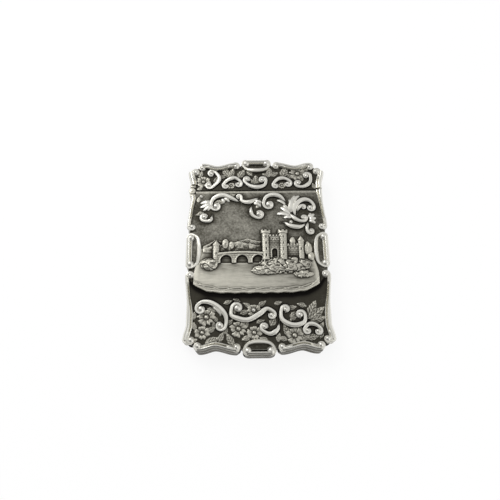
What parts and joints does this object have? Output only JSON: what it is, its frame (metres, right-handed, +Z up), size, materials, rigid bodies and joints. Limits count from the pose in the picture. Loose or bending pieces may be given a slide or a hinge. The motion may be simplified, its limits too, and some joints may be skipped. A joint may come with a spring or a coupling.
{
  "type": "card case",
  "caption": "Flat card case of stamped silver with a side-hinged lid, a serpentine scroll border, relief scrolls and a picture in high relief on the front.",
  "frame": {"origin": "centre of the case's footprint, on the surface that its back lies on", "axes": "+Z up through the thickness from back to front, +Y along the case towards the lid, +X to the right as seen from the front"},
  "size_m": [0.07, 0.101, 0.011],
  "materials": {
    "silver_sheet": "stamped silver, dark oxidised ground with bright worn relief",
    "silver_border": "cast silver, polished by handling",
    "silver_picture": "stamped silver in high relief, bright on the raised parts",
    "silver_plain": "plain silver strip, lightly scratched"
  },
  "bodies": {
    "case": {"body_front_panel": "silver_sheet", "body_back_panel": "silver_sheet", "body_left_wall": "silver_plain", "body_bottom_wall": "silver_plain", "body_right_wall": "silver_plain", "scene_relief": "silver_picture", "bezel_front": "silver_plain", "bezel_back": "silver_plain", "bezel_left": "silver_plain", "bezel_right": "silver_plain", "hinge_knuckle_back": "silver_plain", "hinge_knuckle_front": "silver_plain", "hinge_pin": "silver_plain", "front_border_right_upper": "silver_border", "front_border_right_cartouche": "silver_border", "front_border_right_lower": "silver_border", "front_border_bottom_right": "silver_border", "front_border_bottom_cartouche": "silver_border", "front_border_bottom_left": "silver_border", "front_border_left_lower": "silver_border", "front_border_left_cartouche": "silver_border", "front_border_left_upper": "silver_border", "back_border_right_upper": "silver_border", "back_border_right_cartouche": "silver_border", "back_border_right_lower": "silver_border", "back_border_bottom_right": "silver_border", "back_border_bottom_cartouche": "silver_border", "back_border_bottom_left": "silver_border", "back_border_left_lower": "silver_border", "back_border_left_cartouche": "silver_border", "back_border_left_upper": "silver_border"},
    "lid": {"lid_front_panel": "silver_sheet", "lid_back_panel": "silver_sheet", "lid_right_wall": "silver_plain", "lid_top_wall": "silver_plain", "lid_left_wall": "silver_plain", "lid_hinge_knuckle": "silver_plain", "front_border_lid_left": "silver_border", "front_border_lid_top_left": "silver_border", "front_border_lid_top_cartouche": "silver_border", "front_border_lid_top_right": "silver_border", "front_border_lid_right": "silver_border", "back_border_lid_left": "silver_border", "back_border_lid_top_left": "silver_border", "back_border_lid_top_cartouche": "silver_border", "back_border_lid_top_right": "silver_border", "back_border_lid_right": "silver_border"}
  },
  "joints": [
    {"name": "lid_hinge", "type": "hinge", "parent": "case", "child": "lid", "pos_m": [-0.0325, 0.0323, 0], "axis": [0, 0, 1], "range_deg": [0, 100]}
  ]
}
